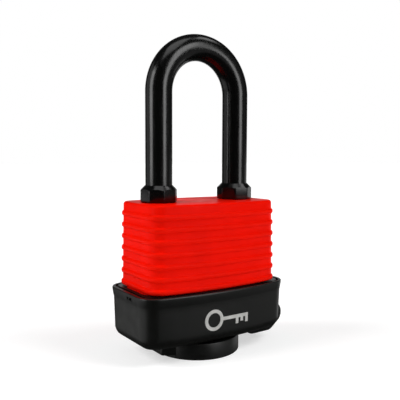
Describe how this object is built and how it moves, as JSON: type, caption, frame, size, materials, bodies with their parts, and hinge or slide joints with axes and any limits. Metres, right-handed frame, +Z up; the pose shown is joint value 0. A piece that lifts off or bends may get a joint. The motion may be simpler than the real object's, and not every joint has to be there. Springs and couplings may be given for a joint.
{
  "type": "padlock",
  "caption": "Weatherproof laminated padlock: red ribbed jacket, black bumper base with hinged keyway cover, long black vinyl-covered shackle with octagonal seals.",
  "frame": {"origin": "on the flat underside of the keyway cover, which the lock stands on, below the middle of the steel body", "axes": "+X across the wide face from the shackle's heel to its toe, which is also the cover's hinge side; -Y out of the front face; +Z up along the shackle's legs"},
  "size_m": [0.0531, 0.0286, 0.0944],
  "materials": {
    "jacket_red": "satin moulded",
    "base_black": "semi-gloss moulded",
    "cover_black": "matt moulded",
    "sleeve_vinyl": "glossy shrink-fitted vinyl",
    "seal_black": "glossy moulded",
    "plate_steel": "stamped and plated",
    "rivet_steel": "plain",
    "bar_steel": "plated hardened steel",
    "spring_wire": "drawn wire and strip",
    "lever_steel": "stamped",
    "cylinder_brass": "machined",
    "pin_brass": "machined"
  },
  "bodies": {
    "lock_body": {"jacket": "jacket_red", "base_bumper": "base_black", "steel_plate_01": "plate_steel", "steel_plate_02": "plate_steel", "steel_plate_03": "plate_steel", "steel_plate_04": "plate_steel", "steel_plate_05": "plate_steel", "steel_plate_06": "plate_steel", "steel_plate_07": "plate_steel", "steel_plate_08": "plate_steel", "steel_plate_09": "plate_steel", "steel_plate_10": "plate_steel", "steel_plate_11": "plate_steel", "steel_plate_12": "plate_steel", "steel_plate_13": "plate_steel", "steel_plate_14": "plate_steel", "steel_plate_15": "plate_steel", "steel_plate_16": "plate_steel", "steel_plate_17": "plate_steel", "steel_plate_18": "plate_steel", "steel_plate_19": "plate_steel", "steel_plate_20": "plate_steel", "body_rivets": "rivet_steel", "heel_retaining_pin": "rivet_steel", "cylinder_shell": "cylinder_brass", "driver_pins": "pin_brass", "pin_springs": "spring_wire", "pin_cover": "cylinder_brass", "cover_hinge_pin": "rivet_steel", "shackle_spring": "spring_wire", "lever_springs": "spring_wire"},
    "shackle": {"shackle": "bar_steel", "shackle_sleeve": "sleeve_vinyl", "heel_seal": "seal_black", "toe_seal": "seal_black"},
    "plug": {"plug": "cylinder_brass", "key_pins": "pin_brass", "plug_clip": "spring_wire", "cam": "lever_steel"},
    "toe_lever": {"toe_lever": "lever_steel"},
    "heel_lever": {"heel_lever": "lever_steel"},
    "keyway_cover": {"keyway_cover": "cover_black"}
  },
  "joints": [
    {"name": "shackle_lift", "type": "slide", "parent": "lock_body", "child": "shackle", "axis": [0, 0, 1], "range_m": [0, 0.013], "deforming": ["shackle_spring"]},
    {"name": "plug_turn", "type": "hinge", "parent": "lock_body", "child": "plug", "pos_m": [0, 0, 0.02], "axis": [0, 0, 1], "range_deg": [-90, 0]},
    {"name": "toe_lever_slide", "type": "slide", "parent": "lock_body", "child": "toe_lever", "axis": [1, 0, 0], "range_m": [0, 0.0013], "deforming": ["lever_springs"]},
    {"name": "heel_lever_slide", "type": "slide", "parent": "lock_body", "child": "heel_lever", "axis": [-1, 0, 0], "range_m": [0, 0.0013], "deforming": ["lever_springs"]},
    {"name": "cover_swing", "type": "hinge", "parent": "lock_body", "child": "keyway_cover", "pos_m": [0.02485, 0, 0.0081], "axis": [0, -1, 0], "range_deg": [0, 115]}
  ],
  "couplings": [
    {"joint": "toe_lever_slide", "follows": "plug_turn", "m_per_rad": -0.0008275},
    {"joint": "heel_lever_slide", "follows": "plug_turn", "m_per_rad": -0.0008275}
  ]
}
